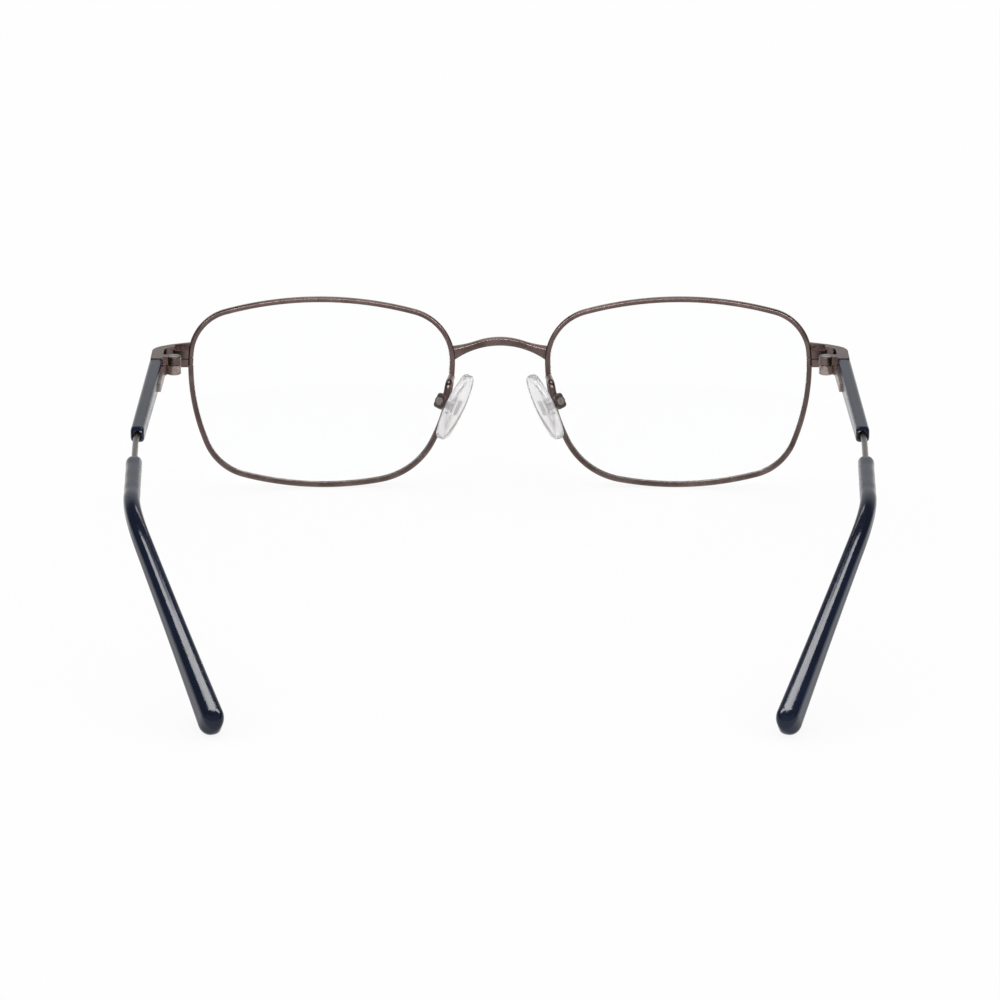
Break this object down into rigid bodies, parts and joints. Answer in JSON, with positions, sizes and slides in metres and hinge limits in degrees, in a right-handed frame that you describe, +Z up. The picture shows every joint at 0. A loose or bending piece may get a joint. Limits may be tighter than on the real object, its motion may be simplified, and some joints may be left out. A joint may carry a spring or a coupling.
{
  "type": "rectangular eyeglasses",
  "caption": "Open full-rim rectangular eyeglasses with a thin metal front, clear lenses, rocking nose pads and folding temples with bent plastic tips.",
  "frame": {"origin": "middle of the footprint on the table, below the middle of the bounding box", "axes": "+X towards the wearer's left temple, +Y from the front to the temple tips, +Z up from the table; the front faces -Y"},
  "size_m": [0.137, 0.1405, 0.0372],
  "materials": {
    "gunmetal": "satin",
    "hinge_metal": "satin",
    "wire_metal": "satin",
    "screw_steel": "polished",
    "navy_plastic": "gloss",
    "clear_pad": "satin",
    "insert_plastic": "satin",
    "clear_lens": "gloss"
  },
  "bodies": {
    "front": {"bridge": "gunmetal", "rim_left": "gunmetal", "lens_left": "clear_lens", "closing_block_upper_left": "gunmetal", "closing_block_lower_left": "gunmetal", "rim_screw_left": "screw_steel", "endpiece_left": "gunmetal", "hinge_screw_left": "screw_steel", "pad_arm_left": "gunmetal", "pad_box_left": "gunmetal", "pad_screw_left": "screw_steel", "rim_right": "gunmetal", "lens_right": "clear_lens", "closing_block_upper_right": "gunmetal", "closing_block_lower_right": "gunmetal", "rim_screw_right": "screw_steel", "endpiece_right": "gunmetal", "hinge_screw_right": "screw_steel", "pad_arm_right": "gunmetal", "pad_box_right": "gunmetal", "pad_screw_right": "screw_steel"},
    "left_temple": {"hinge_leaf_left": "hinge_metal", "temple_block_left": "navy_plastic", "temple_wire_left": "wire_metal", "temple_tip_left": "navy_plastic"},
    "right_temple": {"hinge_leaf_right": "hinge_metal", "temple_block_right": "navy_plastic", "temple_wire_right": "wire_metal", "temple_tip_right": "navy_plastic"},
    "left_nose_pad": {"nose_pad_left": "clear_pad", "pad_insert_left": "insert_plastic"},
    "right_nose_pad": {"nose_pad_right": "clear_pad", "pad_insert_right": "insert_plastic"}
  },
  "joints": [
    {"name": "left_temple_hinge", "type": "hinge", "parent": "front", "child": "left_temple", "pos_m": [0.0631, -0.05751, 0.02715], "axis": [0, -0.0244, 0.9997], "range_deg": [0, 84]},
    {"name": "right_temple_hinge", "type": "hinge", "parent": "front", "child": "right_temple", "pos_m": [-0.0631, -0.05751, 0.02715], "axis": [0, 0.0244, -0.9997], "range_deg": [0, 70]},
    {"name": "left_nose_pad_rock", "type": "hinge", "parent": "front", "child": "left_nose_pad", "pos_m": [0.01125, -0.06175, 0.01816], "axis": [0.4005, 0.8576, 0.3227], "range_deg": [-8, 8]},
    {"name": "right_nose_pad_rock", "type": "hinge", "parent": "front", "child": "right_nose_pad", "pos_m": [-0.01125, -0.06175, 0.01816], "axis": [-0.4005, 0.8576, 0.3227], "range_deg": [-8, 8]}
  ]
}
